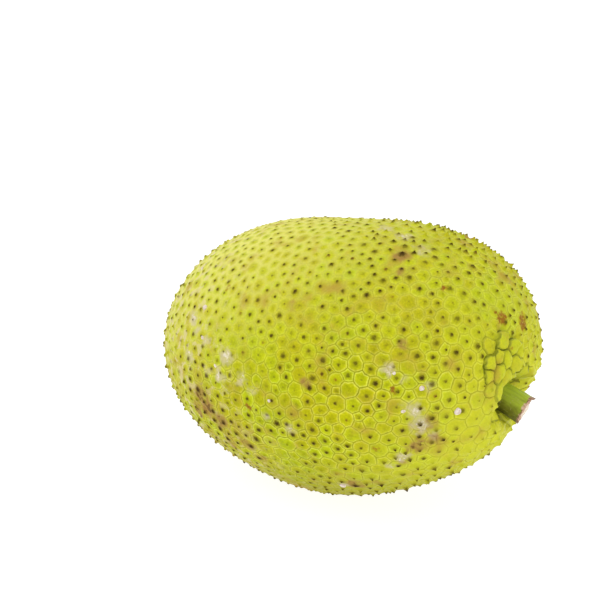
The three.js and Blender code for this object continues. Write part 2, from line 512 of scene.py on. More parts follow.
# %% Facts of one cell
RIM = (0.04 * MM, 0.13 * MM)  # the least height of a rim, and what the clearest groove adds
RISE = (0.05 * MM, 0.40 * MM)  # how high the nub's foot stands over the rim, and what a thorn adds
THORN = (0.30 * MM, 1.1 * MM, 0.6 * MM)  # the height of any nub, what a thorn adds, what a stub adds
PRESSED = (0.5 * MM, 9 * MM)  # between these heights over the table the thorns grow to their full size
THORN_WAY = Vector((1, 0, -0.25))  # thorns lean towards the stalk end
LEAN = 0.5  # how far a thorn leans at most, as a share of its height
STRAY = 0.2  # how far it strays from that way
TIP = (0.52 * MM, 0.34 * MM)  # a nub's radius at its tip, and what a thorn takes off
TILT = (0.05, 0.09)  # how much a cell's table slopes at most, and what squeezing adds
BROW_PUFF = 0.42  # how far the cells of the brow swell towards pillows
RUSTY_SHARE = 0.04
DARK_DOTS = [radius * MM for radius in (0.55, 0.75, 0.85, 0.95, 1.0, 1.05, 1.15, 1.4)]
PATCHES = 24 * MM  # the size of a patch of skin whose tips dried alike
OTHER_PATCHES = Vector((7, 0, 0))  # so that the dried patches aren't those of the grooves


def groove_share(point):
    """How clear the grooves are at a place: 1 is clearest and 0 is none."""
    along, up = along_of(point), up_of(point)
    faint = max(
        smooth_step(0.8 * up - 0.45 * along, -0.25, 0.75),
        0.65 * smooth_step(up, 0.15, 0.8),
        0.55 * smooth_step(-up, 0.5, 0.85),
        0.65 * smooth_step(-along, 0.25, 0.6),
    )
    patchy = 0.3 * noise.noise(point / PATCHES)
    return min(max(1 - faint + patchy, 0.1), 1.0)


class Cell:
    """One cell: its place, its size and what its flower left."""

    def __init__(self, face):
        direction = (face.calc_center_median() - middle).normalized()
        self.middle = skin_point(direction)
        self.normal = face.normal.copy()
        along, up = along_of(self.middle), up_of(self.middle)
        self.crowded = crowded_at(direction)
        brow = brow_at(self.middle)
        self.puff = max(self.crowded * dice.uniform(0.8, 1.2), BROW_PUFF * brow)
        self.crease = max(groove_share(self.middle) * dice.uniform(0.6, 1.0), 0.8 * self.crowded)
        self.rim = (RIM[0] + RIM[1] * self.crease) * dice.uniform(0.6, 1.2)
        thorny = smooth_step(along + 0.25 * abs(up), 0.0, 0.9) * (1 - 0.55 * smooth_step(along, 0.7, 0.95))
        chafed = smooth_step(-along - 0.4 * up, 0.1, 0.8)
        stalk_end = smooth_step(along, 0.6, 0.95)
        self.rise = (RISE[0] + RISE[1] * thorny) * dice.uniform(0.4, 1.2)
        self.thorn = (THORN[0] + THORN[1] * thorny + THORN[2] * chafed) * dice.uniform(0.35, 1.2)
        self.thorn *= (1 - 0.9 * self.crowded) * smooth_step(self.middle.z, *PRESSED)
        self.lean = THORN_WAY * LEAN * dice.uniform(0.0, 1.0)
        self.lean += Vector([dice.uniform(-STRAY, STRAY) for axis in range(3)])
        self.lean -= self.lean.dot(self.normal) * self.normal
        self.blunt = TIP[0] - TIP[1] * thorny
        tilt = TILT[0] + TILT[1] * self.crowded
        self.slant = Vector([dice.uniform(-tilt, tilt) for axis in range(3)])
        self.tone = dice.random()
        dark_share = 0.62 + 0.25 * along + 0.2 * chafed
        dark_share += 1.1 * noise.noise(self.middle / PATCHES + OTHER_PATCHES)
        dark_share *= (1 - 0.9 * self.crowded) * (1 - 0.65 * brow) * (1 - 0.4 * stalk_end)
        if dice.random() < dark_share:
            self.dry = dice.uniform(0.6, 1.0)
            self.dot = dice.choice(DARK_DOTS)
            self.dot *= (0.68 + 0.32 * smooth_step(along - 0.5 * up, -0.8, 0.15)) * (1 - 0.08 * thorny)
        else:
            self.dry = dice.uniform(0.05, 0.5) * (1 - 0.7 * self.crowded)
            self.dot = MM * dice.uniform(0.4, 0.9)
        self.rust = dice.uniform(0.4, 0.7) if dice.random() < RUSTY_SHARE * (1 - self.crowded) else 0.0
        self.marks = [m for m in marks if (m.place - self.middle).length < m.radius + CELL_PITCH]


# %% [markdown]
# Five rings make a cell, and each is the polygon of the groove drawn in. The shoulder is where the
# groove ends, the rim is the pale edge of the table, the foot is where the nub or thorn starts, and
# the waist and the tip shape it.

# %% Where one ring of a cell lies
GROOVE = (0.06 * MM, 0.19 * MM)  # the least depth, and what the clearest groove adds
SQUEEZED_GROOVE = 1.3 * MM  # what squeezing adds
SHOULDER = (0.22 * MM, 0.02 * MM)  # how far in from the groove it lies, and how far under the body
RIM_INSET = 0.65 * MM
ROUNDING = 0.25  # how far a rim is drawn from the groove's polygon towards a circle
FOOT_RADIUS = 1.45 * MM
WAIST_RADIUS = 0.75 * MM
DISHED = 0.8  # how high the table lies inside the rim, as a share of the rim's height
RINGS = ["shoulder", "rim", "foot", "waist", "tip"]
WIDEST = {"shoulder": 0.93, "rim": 0.82, "foot": 0.6, "waist": 0.4, "tip": 0.26}  # shares of the way out
PILLOW = {  # a squeezed cell: each ring's share of the way out, and its height
    "shoulder": (0.91, 0.7 * MM),
    "rim": (0.70, 1.4 * MM),
    "foot": (0.44, 1.85 * MM),
    "waist": (0.24, 2.0 * MM),
    "tip": (0.12, 2.05 * MM),
}
# How far up the nub or thorn each ring stands, as a share of its height.
UP_THORN = {"shoulder": 0.0, "rim": 0.0, "foot": 0.0, "waist": 0.42, "tip": 1.0}


def groove_depth(cell):
    """How deep the groove round a cell is."""
    return GROOVE[0] + GROOVE[1] * cell.crease + SQUEEZED_GROOVE * cell.crowded


def ring_place(cell, home, ring, mean):
    """Where a point of a ring lies, and the same place laid flat on the body."""
    distance = (home - cell.middle).length
    rounded = (1 - ROUNDING) * distance + ROUNDING * mean
    table = DISHED * cell.rim + cell.rise
    radius, height = {
        "shoulder": (distance - SHOULDER[0], -SHOULDER[1]),
        "rim": (rounded - RIM_INSET, cell.rim),
        "foot": (FOOT_RADIUS, table),
        "waist": (WAIST_RADIUS, table),
        "tip": (cell.blunt, table),
    }[ring]
    radius = min(radius, distance * WIDEST[ring])
    share, swollen = PILLOW[ring]
    radius += (share * distance - radius) * cell.puff
    height += (swollen - height) * cell.puff
    thorn = cell.thorn * UP_THORN[ring]
    surface = home + cell.normal * groove_depth(cell)
    side = cell.middle.lerp(surface, radius / distance) - cell.middle
    height += side.dot(cell.slant) + thorn
    return cell.middle + side + cell.normal * height + cell.lean * thorn, cell.middle + side


# %% [markdown]
# The polygons are laid on the body with their edges a little bent, because nothing that grew is
# straight, and the edges are let in as grooves. Then every cell is extruded ring by ring, from its
# shoulder to its tip. Each new point remembers which point of the groove it belongs to, so a ring
# only has to say how far in and how high it lies. From the foot upwards a cell is so small that the
# half-way points are welded to the corners. Under the fruit nothing goes through the table.
#
# The points also carry what the material needs to know: how far they are from the groove, which way
# they lie from the tip, how dry and how wide the tip is, how clear the groove is, how squeezed the
# cell is, its own tone, and the marks. A point of a groove belongs to three cells, so it says that
# it is far from any tip.

# %% Build the skin
BENDS = 28  # how many bends a groove would have in a length equal to the fruit's radius
BEND_DEPTH = 0.010  # how deep the bends are, as a share of the fruit's radius
for vert in web.verts:
    direction = vert.co.normalized()
    vert.co = skin_point((direction + noise.noise_vector(direction * BENDS) * BEND_DEPTH).normalized())
web.normal_update()
cells = [Cell(face) for face in web.faces]
number, on_top = [web.faces.layers.int.new(name) for name in ("cell", "on_top")]
home, flat_place, from_tip = [
    web.verts.layers.float_vector.new(name) for name in ("home", "flat_place", "from_tip")
]
from_groove, dried, dot_radius, clearness, squeezed, tone = [
    web.verts.layers.float.new(name)
    for name in ("from_groove", "dried", "dot_radius", "clearness", "squeezed", "tone")
]
marked = web.verts.layers.float_color.new("marked")
RAGGED = 5 * MM  # the size of the bays in a mark's outline
BAY_DEPTH = 0.35  # as a share of the mark's radius
FADED = 1.3  # where a mark has faded out, in radii from its middle
RUSTY_TIP = (0.4 * MM, 2.4 * MM)  # how far from the tip rust starts to fade, and where it ends
POINT = 0.1 * MM  # how far the last point of a nub stands over its tip
FAR = 10 * MM  # further from the tip than any point of a cell


def colour_point(vert, cell, inwards):
    """Writes what the material needs to know at a point that lies inwards of the groove."""
    vert[from_groove] = inwards
    vert[clearness] = cell.crease
    vert[squeezed] = cell.crowded
    vert[tone] = cell.tone
    vert[dried] = cell.dry
    vert[dot_radius] = cell.dot
    vert[from_tip] = Vector(vert[flat_place]) - cell.middle
    rusty = cell.rust * (1 - smooth_step(vert[from_tip].length, *RUSTY_TIP))
    amounts = [0.0, 0.0, rusty, 1.0]
    wander = noise.noise_vector(vert.co / RAGGED) * BAY_DEPTH
    for mark in cell.marks:
        distance = ((vert.co - mark.place) / mark.radius + wander).length
        amount = mark.strength * (1 - smooth_step(distance, 0.0, FADED))
        amounts[mark.kind] = max(amounts[mark.kind], amount)
    vert[marked] = amounts


for index, face in enumerate(web.faces):
    face[number] = index
for vert in web.verts:
    cell = cells[vert.link_faces[0][number]]
    vert.co -= vert.normal * groove_depth(cell)
    vert[home] = vert[flat_place] = vert.co
    colour_point(vert, cell, 0)
    vert[from_tip] = vert.normal * FAR
    vert[tone] = 0.5

faces = web.faces[:]
for ring in RINGS:
    faces = bmesh.ops.extrude_discrete_faces(web, faces=faces)["faces"]
    welds = {}
    for face in faces:
        cell = cells[face[number]]
        lengths = [(Vector(vert[home]) - cell.middle).length for vert in face.verts]
        mean = sum(lengths) / len(lengths)
        for vert, length in zip(face.verts, lengths):
            vert.co, vert[flat_place] = ring_place(cell, Vector(vert[home]), ring, mean)
            colour_point(vert, cell, length - (Vector(vert[flat_place]) - cell.middle).length)
        if ring == "foot":
            around = face.verts[:]
            welds.update({around[i]: around[i - 1] for i in range(1, len(around), 2)})
    if welds:
        for face in web.faces:
            face[on_top] = 0
        for face in faces:
            face[on_top] = 1
        bmesh.ops.weld_verts(web, targetmap=welds)
        faces = [face for face in web.faces if face[on_top]]
caps = bmesh.ops.poke(web, faces=faces, offset=POINT)
for vert in caps["verts"]:
    cell = cells[vert.link_faces[0][number]]
    vert[flat_place] = cell.middle
    colour_point(vert, cell, CELL_PITCH / 2)
for vert in web.verts:
    vert.co.z = max(vert.co.z, 0)
triangles = sum(len(face.verts) - 2 for face in web.faces)
print("skin:", triangles, "triangles")

# %% [markdown]
# For the export, whose colours are baked into a picture, the skin is also laid out flat. Each cell
# goes whole onto one of the six sides of a box round the fruit, looked at from the fruit's middle,
# and the six sides lie side by side. The material doesn't read this map.

# %% Lay the skin out flat
CHART_ROOM = 0.455  # half the width that a side of the box fills of its place in the layout
bake_map = web.loops.layers.uv.new("OFBake")
half_sizes = (fruit_high - fruit_low) / 2
box_sides = [Vector(side) for side in ((1, 0, 0), (-1, 0, 0), (0, 1, 0), (0, -1, 0), (0, 0, 1), (0, 0, -1))]


def from_middle(point):
    """The direction of a place from the fruit's middle, as if the fruit were a ball."""
    away = point - middle
    return Vector((away.x / half_sizes.x, away.y / half_sizes.y, away.z / half_sizes.z))


def spot_on(side, point):
    """Where a place is seen on one side of the box, from -1 to 1 both ways."""
    upright = Vector((0, 1, 0)) if side.z else Vector((0, 0, 1))
    away = from_middle(point)
    depth = away.dot(side)
    spot = (away.dot(upright.cross(side)), away.dot(upright))
    return [math.atan(share / depth) / math.atan(1) for share in spot]


cell_sides = []
for cell in cells:
    away = from_middle(cell.middle)
    cell_sides.append(max(range(6), key=lambda index: away.dot(box_sides[index])))
for face in web.faces:
    chart = cell_sides[face[number]]
    column, row = chart % 2, chart // 2
    for loop in face.loops:
        across, upwards = spot_on(box_sides[chart], Vector(loop.vert[flat_place]))
        place = ((column + 0.5 + CHART_ROOM * across) / 2, (row + 0.5 + CHART_ROOM * upwards) / 3)
        loop[bake_map].uv = place
print("cells on each side of the box:", [cell_sides.count(chart) for chart in range(6)])

# %% [markdown]
# ## The skin's material
#
# The rind is living skin under a thin natural wax. The wax makes it satin, and a little light goes
# into the flesh and softens the shadows.
#
# Its patterns are noise of six sizes. Four belong to the skin: a slow drift of its hue, tan patches,
# a mottle of about half the size of a cell, and fine specks. Two are dirt's: a film that rubbing
# left, and dried soil. The points of the skin give the rest.

# %% The patterns and facts that the rind's colours are made of
DRIFT = 40 * MM
TAN = 12 * MM
MOTTLE = 3.0 * MM
SPECKS = 0.9 * MM  # real pores are finer, and these are as coarse as it takes to see them
FILM = 3.8 * MM
DIRT = 5.0 * MM
rind_material, tree = new_material("waxy_living_rind")
place = add(tree, "TexCoord").outputs["Object"]
drift, tanned, mottle, specks, rubbed, soil = [
    add(tree, "TexNoise", [("Vector", place), ("Scale", 1 / size), ("Detail", detail)]).outputs["Fac"]
    for size, detail in [(DRIFT, 1.0), (TAN, 3.0), (MOTTLE, 3.0), (SPECKS, 2.0), (FILM, 4.0), (DIRT, 5.0)]
]
groove, cell_tone, clear, squeeze, dry, dot = [
    add(tree, "Attribute", attribute_name=name).outputs["Fac"]
    for name in ("from_groove", "tone", "clearness", "squeezed", "dried", "dot_radius")
]
tip_way = add(tree, "Attribute", attribute_name="from_tip").outputs["Vector"]
amounts = add(tree, "SeparateColor", [
    ("Color", add(tree, "Attribute", attribute_name="marked").outputs["Color"]),
])


def slope(along_weight, up_weight, low, high, most=1.0):
    """A rise from 0 to most over the whole fruit, in half lengths from its middle."""
    way = Vector((along_weight / half_length, 0, up_weight / half_height))
    reached = add(tree, "VectorMath", [(0, place), (1, way)], operation="DOT_PRODUCT").outputs["Value"]
    return add(tree, "MapRange", [
        ("Value", reached),
        ("From Min", low + way.dot(middle)),
        ("From Max", high + way.dot(middle)),
        ("To Max", most),
    ], interpolation_type="SMOOTHSTEP").outputs[0]


# %% [markdown]
# Each cell is olive in its groove, has a pale rim, and is chartreuse inside. No two cells have quite
# the same hue and lightness.

# %% The colour of one cell
GROOVE_RAMP = 2 * MM  # how far in from a groove the colour stops changing
inwards = add(tree, "Math", [(0, groove), (1, GROOVE_RAMP)], operation="DIVIDE").outputs[0]
across = add(tree, "ValToRGB", [("Fac", inwards)], stops=[
    (0.0, linear("98981A")),
    (0.10, linear("AEAF20")),
    (0.22, linear("D4D456")),
    (0.38, linear("C6C730")),
    (0.60, linear("B5B70E")),
    (1.0, linear("ABAF06")),
]).outputs["Color"]
grain = add(tree, "Math", [(0, mottle), (1, specks)]).outputs[0]
patches = add(tree, "MapRange", [
    ("Value", grain), ("From Min", 0.7), ("From Max", 1.3), ("To Min", 0.80), ("To Max", 1.20),
]).outputs[0]
lightness = add(tree, "MapRange", [("Value", cell_tone), ("To Min", 0.93), ("To Max", 1.06)]).outputs[0]
value = add(tree, "Math", [(0, lightness), (1, patches)], operation="MULTIPLY").outputs[0]
leaning = add(tree, "Math", [(0, cell_tone), (1, 0.5), (2, drift)], operation="MULTIPLY_ADD").outputs[0]
hue = add(tree, "MapRange", [
    ("Value", leaning), ("From Min", 0.45), ("From Max", 1.05), ("To Min", 0.486), ("To Max", 0.514),
]).outputs[0]
flesh = add(tree, "Mix", [(0, clear), (6, linear("B2B412")), (7, across)], data_type="RGBA").outputs[2]
flesh = add(tree, "HueSaturation", [("Hue", hue), ("Value", value), ("Color", flesh)]).outputs["Color"]

# %% [markdown]
# Over that lie changes that follow the fruit as a whole. A painted sheen makes it paler over the top
# and the blossom end, where the light falls, and most so near the rims of its cells. It is a lighter
# lime round the stalk, painted darker olive underneath as a painted shade, and worn low at the
# blossom end, where the tan patches are stronger. Painted shade darkens the crevices between
# squeezed cells to dark green.
#
# Towards the blossom end, rubbing has left a thin beige film in patches of a few millimetres. Where
# the fruit lay on the ground, soil has dried on it in blots of the same size.

# %% The colours over the whole fruit
# Painted sheen: the top and the blossom end are painted paler where the light falls on them.
painted_top_sheen = slope(0.0, 1.0, 0.2, 0.9, most=0.1)
painted_side_sheen = slope(-0.75, 0.55, 0.05, 1.0, most=0.57)
limes = slope(0.9, -0.4, 0.3, 1.05, most=0.7)
# Painted shade: the underside is painted darker olive.
painted_underside_shade = slope(0.15, -1.0, 0.3, 1.05, most=0.75)
worn = slope(-0.7, -0.6, 0.2, 1.25, most=0.6)
# The painted sheen is strongest near the rims of the cells, and the mottle breaks it up.
from_rim = add(tree, "Math", [(0, mottle), (1, 1.5), (2, inwards)], operation="MULTIPLY_ADD").outputs[0]
uneven = add(tree, "MapRange", [
    ("Value", from_rim), ("From Min", 0.8), ("From Max", 1.9), ("To Min", 1.5), ("To Max", 0.3),
]).outputs[0]
painted_sheen = add(tree, "Math", [(0, painted_side_sheen), (1, painted_top_sheen)]).outputs[0]
painted_sheen = add(tree, "Math", [(0, painted_sheen), (1, uneven)], operation="MULTIPLY").outputs[0]
# Painted shade: the grooves between squeezed cells are painted dark green, where shade falls.
painted_crevice_shade = add(tree, "MapRange", [
    ("Value", groove), ("From Max", 1.1 * MM), ("To Min", 0.8), ("To Max", 0.0),
], interpolation_type="SMOOTHSTEP").outputs[0]
painted_crevice_shade = add(tree, "Math", [(0, painted_crevice_shade), (1, squeeze)], operation="MULTIPLY").outputs[0]
tanned = add(tree, "Math", [(0, worn), (1, 0.3), (2, tanned)], operation="MULTIPLY_ADD").outputs[0]
tan_patches = add(tree, "MapRange", [
    ("Value", tanned), ("From Min", 0.52), ("From Max", 0.80), ("To Max", 0.8),
], interpolation_type="SMOOTHSTEP").outputs[0]
film = add(tree, "MapRange", [
    ("Value", rubbed), ("From Min", 0.53), ("From Max", 0.64), ("To Max", 0.7),
], interpolation_type="SMOOTHSTEP").outputs[0]
film = add(tree, "Math", [(0, film), (1, slope(-0.95, -0.25, -0.1, 0.6))], operation="MULTIPLY").outputs[0]
dirt = add(tree, "MapRange", [
    ("Value", soil), ("From Min", 0.48), ("From Max", 0.66),
], interpolation_type="SMOOTHSTEP").outputs[0]
dirt = add(tree, "Math", [(0, dirt), (1, worn)], operation="MULTIPLY").outputs[0]
colour = flesh
for share, hex_value in [
    (painted_sheen, "DEDA70"),
    (limes, "CFD138"),
    (painted_crevice_shade, "4E5A0C"),
    (painted_underside_shade, "928A24"),
    (tan_patches, "AC8A3C"),
    (film, "D6C896"),
    (dirt, "866A2C"),
]:
    colour = add(tree, "Mix", [(0, share), (6, colour), (7, linear(hex_value))], data_type="RGBA").outputs[2]

# %% [markdown]
# A mark shows where its amount, roughened by noise, passes a threshold, so its edge is ragged and
# follows nothing regular. Latex dries in two layers: a wide grey-beige film that the cells show
# through, and small whitish crusts in it.
#
# What the flower left is a round spot at the tip of each cell, with an olive halo, and it stands out
# through the marks. Its edge is roughened by the specks. In a brown mark it is wider and darker.

# %% The marks and the spots
roughness = add(tree, "MapRange", [("Value", mottle), ("To Min", 0.40), ("To Max", 0.58)]).outputs[0]
for kind, hex_value, size, rough, low, high, most in [
    (RUST, "8C4C1A", 1.3 * MM, 0.6, -0.34, -0.04, 0.88),
    (BROWN, "9E7A44", 3.0 * MM, 0.7, -0.42, 0.0, 0.85),
    (BROWN, "4E3618", 1.5 * MM, 0.7, -0.06, 0.12, 0.7),
    (LATEX, "C4B892", 2.6 * MM, 0.75, -0.36, -0.02, 0.75),
    (LATEX, "E4DAC8", 1.4 * MM, 0.8, -0.11, 0.10, 0.8),
]:
    ragged = add(tree, "TexNoise", [("Vector", place), ("Scale", 1 / size), ("Detail", 4.0)]).outputs["Fac"]
    spread = [(0, amounts.outputs[kind]), (1, ragged), (2, -0.5)]
    spread = add(tree, "Math", spread, operation="MULTIPLY_ADD").outputs[0]
    mask = add(tree, "MapRange", [
        ("Value", spread), ("From Min", low), ("From Max", high), ("To Max", most),
    ], interpolation_type="SMOOTHSTEP").outputs[0]
    colour = add(tree, "Mix", [(0, mask), (6, colour), (7, linear(hex_value))], data_type="RGBA").outputs[2]
    roughness = add(tree, "Mix", [(0, mask), (2, roughness), (3, rough)]).outputs[0]

scabbed = amounts.outputs[BROWN]
drying = [(0, scabbed), (1, 0.8), (2, dry)]
dry = add(tree, "Math", drying, operation="MULTIPLY_ADD", use_clamp=True).outputs[0]
swelling = add(tree, "Math", [(0, scabbed), (1, 0.55), (2, 1.0)], operation="MULTIPLY_ADD").outputs[0]
dot = add(tree, "Math", [(0, dot), (1, swelling)], operation="MULTIPLY").outputs[0]
tip_distance = add(tree, "VectorMath", [(0, tip_way)], operation="LENGTH").outputs["Value"]
radii = add(tree, "Math", [(0, tip_distance), (1, dot)], operation="DIVIDE").outputs[0]
radii = add(tree, "Math", [(0, specks), (1, 0.8), (2, radii)], operation="MULTIPLY_ADD").outputs[0]
for hex_value, inner, outer, most in [("7C6C1C", 1.0, 2.4, 0.5), ("3A280F", 0.65, 1.65, 0.94)]:
    spot = add(tree, "MapRange", [
        ("Value", radii), ("From Min", inner), ("From Max", outer), ("To Min", most), ("To Max", 0.0),
    ], interpolation_type="SMOOTHSTEP").outputs[0]
    spot = add(tree, "Math", [(0, spot), (1, dry)], operation="MULTIPLY").outputs[0]
    colour = add(tree, "Mix", [(0, spot), (6, colour), (7, linear(hex_value))], data_type="RGBA").outputs[2]
roughness = add(tree, "Mix", [(0, spot), (2, roughness), (3, 0.85)]).outputs[0]

# %% The rind's relief and shine
pores = add(tree, "Bump", [("Height", specks), ("Strength", 0.5), ("Distance", 0.05 * MM)])
dents = add(tree, "Bump", [
    ("Height", mottle), ("Strength", 0.6), ("Distance", 0.4 * MM), ("Normal", pores.outputs[0]),
])
shader = add(tree, "BsdfPrincipled", [
    ("Base Color", colour),
    ("Roughness", roughness),
    ("IOR", 1.45),
    ("Specular IOR Level", 0.06),
    ("Subsurface Weight", 0.12),
    ("Subsurface Radius", (1.0, 0.8, 0.25)),
    ("Subsurface Scale", 1.6 * MM),
    ("Normal", dents.outputs[0]),
])
add(tree, "OutputMaterial", [("Surface", shader.outputs[0])])

# %% Finish the rind
rind = finished(web, "rind", rind_material)
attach(rind, "root")
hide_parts("fruit")

# %% [markdown]
# ## Drops of dried latex
#
# Where the skin was pricked, a drop of latex ran out and dried to a small white bead. Each is a ball
# that is pressed flat on the skin, with a shape roughened by noise. It finds its place on the
# finished skin by a ray, as a mark does.

# %% Drops
DROPS = [
    # mm along, degrees round, mm of radius
    (-43, 30, 1.3),
    (-39, 17, 0.9),
    (-28, 8, 0.8),
    (3, 1, 0.8),
    (28, -43, 1.4),
    (62, 7, 1.0),
    (68, 19, 1.1),
    (80, 8, 1.5),
    (57, 23, 0.8),
    (-60, 52, 0.9),
]
FAR_DROPS = 12
for drop in range(FAR_DROPS):
    DROPS.append((dice.uniform(-70, 75), dice.uniform(100, 320), dice.uniform(0.6, 1.4)))
DROP_FLATNESS = 0.45
LUMP = 1.5 * MM
LUMP_DEPTH = 0.3  # as a share of the drop's radius
rind_tree = BVHTree.FromObject(rind, bpy.context.evaluated_depsgraph_get())
drops_bm = bmesh.new()
for along, turn, radius in DROPS:
    outwards = outwards_at(turn)
    outside = axis_point(along) + outwards * half_length
    spot, normal = rind_tree.ray_cast(outside, -outwards)[:2]
    ball = bmesh.ops.create_icosphere(drops_bm, subdivisions=3, radius=radius * MM)["verts"]
    stance = Matrix.Translation(spot) @ normal.to_track_quat("Z", "Y").to_matrix().to_4x4()
    for vert in ball:
        swell = 1 + LUMP_DEPTH * noise.noise(vert.co / LUMP + outside / MM)
        vert.co = stance @ Vector((vert.co.x * swell, vert.co.y * swell, vert.co.z * swell * DROP_FLATNESS))
print("drops:", len(DROPS))

# %% [markdown]
# Dried latex is a natural rubber. It is off-white and satin, and light goes a little way into it.

# %% The latex
CLOUD = 1.1 * MM
latex_material, tree = new_material("dried_latex")
place = add(tree, "TexCoord").outputs["Object"]
cloud = add(tree, "TexNoise", [("Vector", place), ("Scale", 1 / CLOUD), ("Detail", 3.0)]).outputs["Fac"]
wrinkles = add(tree, "Bump", [("Height", cloud), ("Strength", 0.4), ("Distance", 0.2 * MM)])
colour = add(tree, "ValToRGB", [("Fac", cloud)], stops=[
    (0.35, linear("C9B4A4")),
    (0.60, linear("E2D6CC")),
]).outputs["Color"]
shader = add(tree, "BsdfPrincipled", [
    ("Base Color", colour),
    ("Roughness", 0.5),
    ("IOR", 1.5),
    ("Subsurface Weight", 0.3),
    ("Subsurface Radius", (1.0, 0.9, 0.8)),
    ("Subsurface Scale", 0.8 * MM),
    ("Normal", wrinkles.outputs[0]),
])
add(tree, "OutputMaterial", [("Surface", shader.outputs[0])])
drops = finished(drops_bm, "latex_drops", latex_material)
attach(drops, "root")

# %% [markdown]
# ## The stalk
#
# The stalk is a thick green stem, round and a little ridged, with tan pores in its bark. It was
# torn rather than cut. So the bark dried brown and ragged round the break, one strip of it stands
# out on the upper side, and the fibrous wood inside shows cream.
#
# It grows on its foot, a circle, which is extruded ring by ring: up the bark, over the torn edge,
# down inside it, and in over the wood. Each point keeps its turn round the stalk, so the ridges and
# the ragged edge are formulas of the turn. The stem is built upright, and bent and stood in its
# place at the end.

# %% Build the stalk
STALK_SIDES = 96
STALK_BEND = 1.2 * MM  # how far the middle of the stalk stands off a straight line
RIDGES = [(0.16 * MM, 7, 2.0), (0.10 * MM, 16, -3.0)]  # height, how many go round, and their twist
LUMPS = 0.35 * MM  # how far the bark is out of round
COLLAR = 0.25 * MM  # how far it swells towards the break
BARK_THICKNESS = 1.2 * MM
BARK_TOP = 0.96  # where the bark ends and its torn edge starts, as a share of the height
BARK_RINGS = 26
STRIP_LENGTH = 2.6 * MM
STRIP_SPREAD = 0.40  # in radians
CROWN = 0.7 * MM  # how far the wood stands out in its middle
NOT_WOOD = 2.0  # what the points of the bark carry as their share of the way over the wood
DRAWN_IN = 0.12  # how far the bark's pattern is stretched: its height is drawn in to this share
stalk_length = (stalk_cut - stalk_foot).length
stance = Vector((0, 0, 1)).rotation_difference(stalk_way).to_matrix().to_4x4()
stance.translation = stalk_foot


def off_axis(point):
    """How far a place is from the line that the stalk follows."""
    return (point - stalk_foot).cross(stalk_way).length


foot_radius = sum(off_axis(point) for point in stalk_points[:END_POINTS]) / END_POINTS
cut_radius = sum(off_axis(point) for point in stalk_points[-END_POINTS:]) / END_POINTS
top_way = stance.to_3x3().inverted() @ Vector((-0.05, 0.3, 1))
STRIP_TURN = math.atan2(top_way.y, top_way.x)
print("stalk, mm:", [round(size / MM, 1) for size in (stalk_length, foot_radius, cut_radius)])


def bark_radius(share, turn):
    """The outside of the bark: flared at the foot, ridged along, and a little uneven."""
    flare = (foot_radius - cut_radius) * (1 - smooth_step(share, 0.0, 0.4))
    ridges = sum(height * math.cos(count * turn + twist * share) for height, count, twist in RIDGES)
    uneven = LUMPS * noise.noise(Vector((math.cos(turn), math.sin(turn), 2.5 * share)) * 1.4)
    swollen = COLLAR * smooth_step(share, 0.7, 1.0)
    return cut_radius + flare + ridges + uneven + swollen


def torn_by(turn):
    """How far the torn edge of the bark stands out past the cut."""
    around = Vector((math.cos(turn), math.sin(turn), 0))
    ragged = 0.35 * MM * noise.noise(around * 3.1) + 0.25 * MM * noise.noise(around * 9.0)
    from_strip = math.remainder(turn - STRIP_TURN, math.tau) / STRIP_SPREAD
    return ragged + STRIP_LENGTH * math.exp(-(from_strip ** 4)) * (0.75 + 0.7 * noise.noise(around * 14.0))


def wood_height(share, turn):
    """The height of the broken wood at a share of the way out from its middle."""
    around = Vector((math.cos(turn), math.sin(turn), 0))
    uneven = 0.4 * MM * noise.noise(around * share * 2.5) + 0.3 * MM * noise.noise(around * share * 9)
    return stalk_length + CROWN * (1 - share ** 2) + uneven


def ring_point(part, share, turn):
    """The distance from the axis and the height of a point, on the bark, the torn edge or the wood."""
    if part == "bark":
        return bark_radius(share, turn), share * stalk_length
    edge, torn = bark_radius(1.0, turn), torn_by(turn)
    if part == "edge":
        return edge + 0.25 * max(torn, 0) - 0.6 * MM * share, stalk_length + torn * (1 - 0.2 * share)
    return (edge - BARK_THICKNESS) * share, wood_height(share, turn)


STALK_RINGS = [("bark", BARK_TOP * step / BARK_RINGS) for step in range(BARK_RINGS + 1)]
STALK_RINGS += [("edge", 0.0), ("edge", 1.0)]
STALK_RINGS += [("wood", share) for share in (1.0, 0.9, 0.75, 0.6, 0.45, 0.3, 0.15)]
stalk_bm = bmesh.new()
bark_place = stalk_bm.verts.layers.float_vector.new("bark_place")
below_cut, upper, wood_share = [
    stalk_bm.verts.layers.float.new(name) for name in ("below_cut", "upper", "wood_share")
]
bmesh.ops.create_circle(stalk_bm, cap_ends=True, radius=foot_radius, segments=STALK_SIDES)
faces = stalk_bm.faces[:]
for index, (part, share) in enumerate(STALK_RINGS):
    if index > 0:
        faces = bmesh.ops.extrude_discrete_faces(stalk_bm, faces=faces)["faces"]
    for vert in faces[0].verts:
        turn = math.atan2(vert.co.y, vert.co.x)
        radius, height = ring_point(part, share, turn)
        vert.co = Vector((radius * math.cos(turn), radius * math.sin(turn), height))
        vert[bark_place] = Vector((vert.co.x, vert.co.y, DRAWN_IN * height))
        vert[below_cut] = stalk_length - height
        vert[upper] = math.cos(turn - STRIP_TURN)
        vert[wood_share] = share if part == "wood" else NOT_WOOD
for vert in bmesh.ops.poke(stalk_bm, faces=faces)["verts"]:
    vert[wood_share] = 0.0
bmesh.ops.holes_fill(stalk_bm, edges=stalk_bm.edges, sides=0)
for face in stalk_bm.faces:
    face.material_index = int(all(vert[wood_share] <= 1.0 for vert in face.verts))
for vert in stalk_bm.verts:
    share = min(max(vert.co.z / stalk_length, 0), 1)
    vert.co.y += STALK_BEND * 4 * share * (1 - share)
bmesh.ops.transform(stalk_bm, matrix=stance, verts=stalk_bm.verts)
bmesh.ops.recalc_face_normals(stalk_bm, faces=stalk_bm.faces)
print("stalk:", len(stalk_bm.faces), "faces")
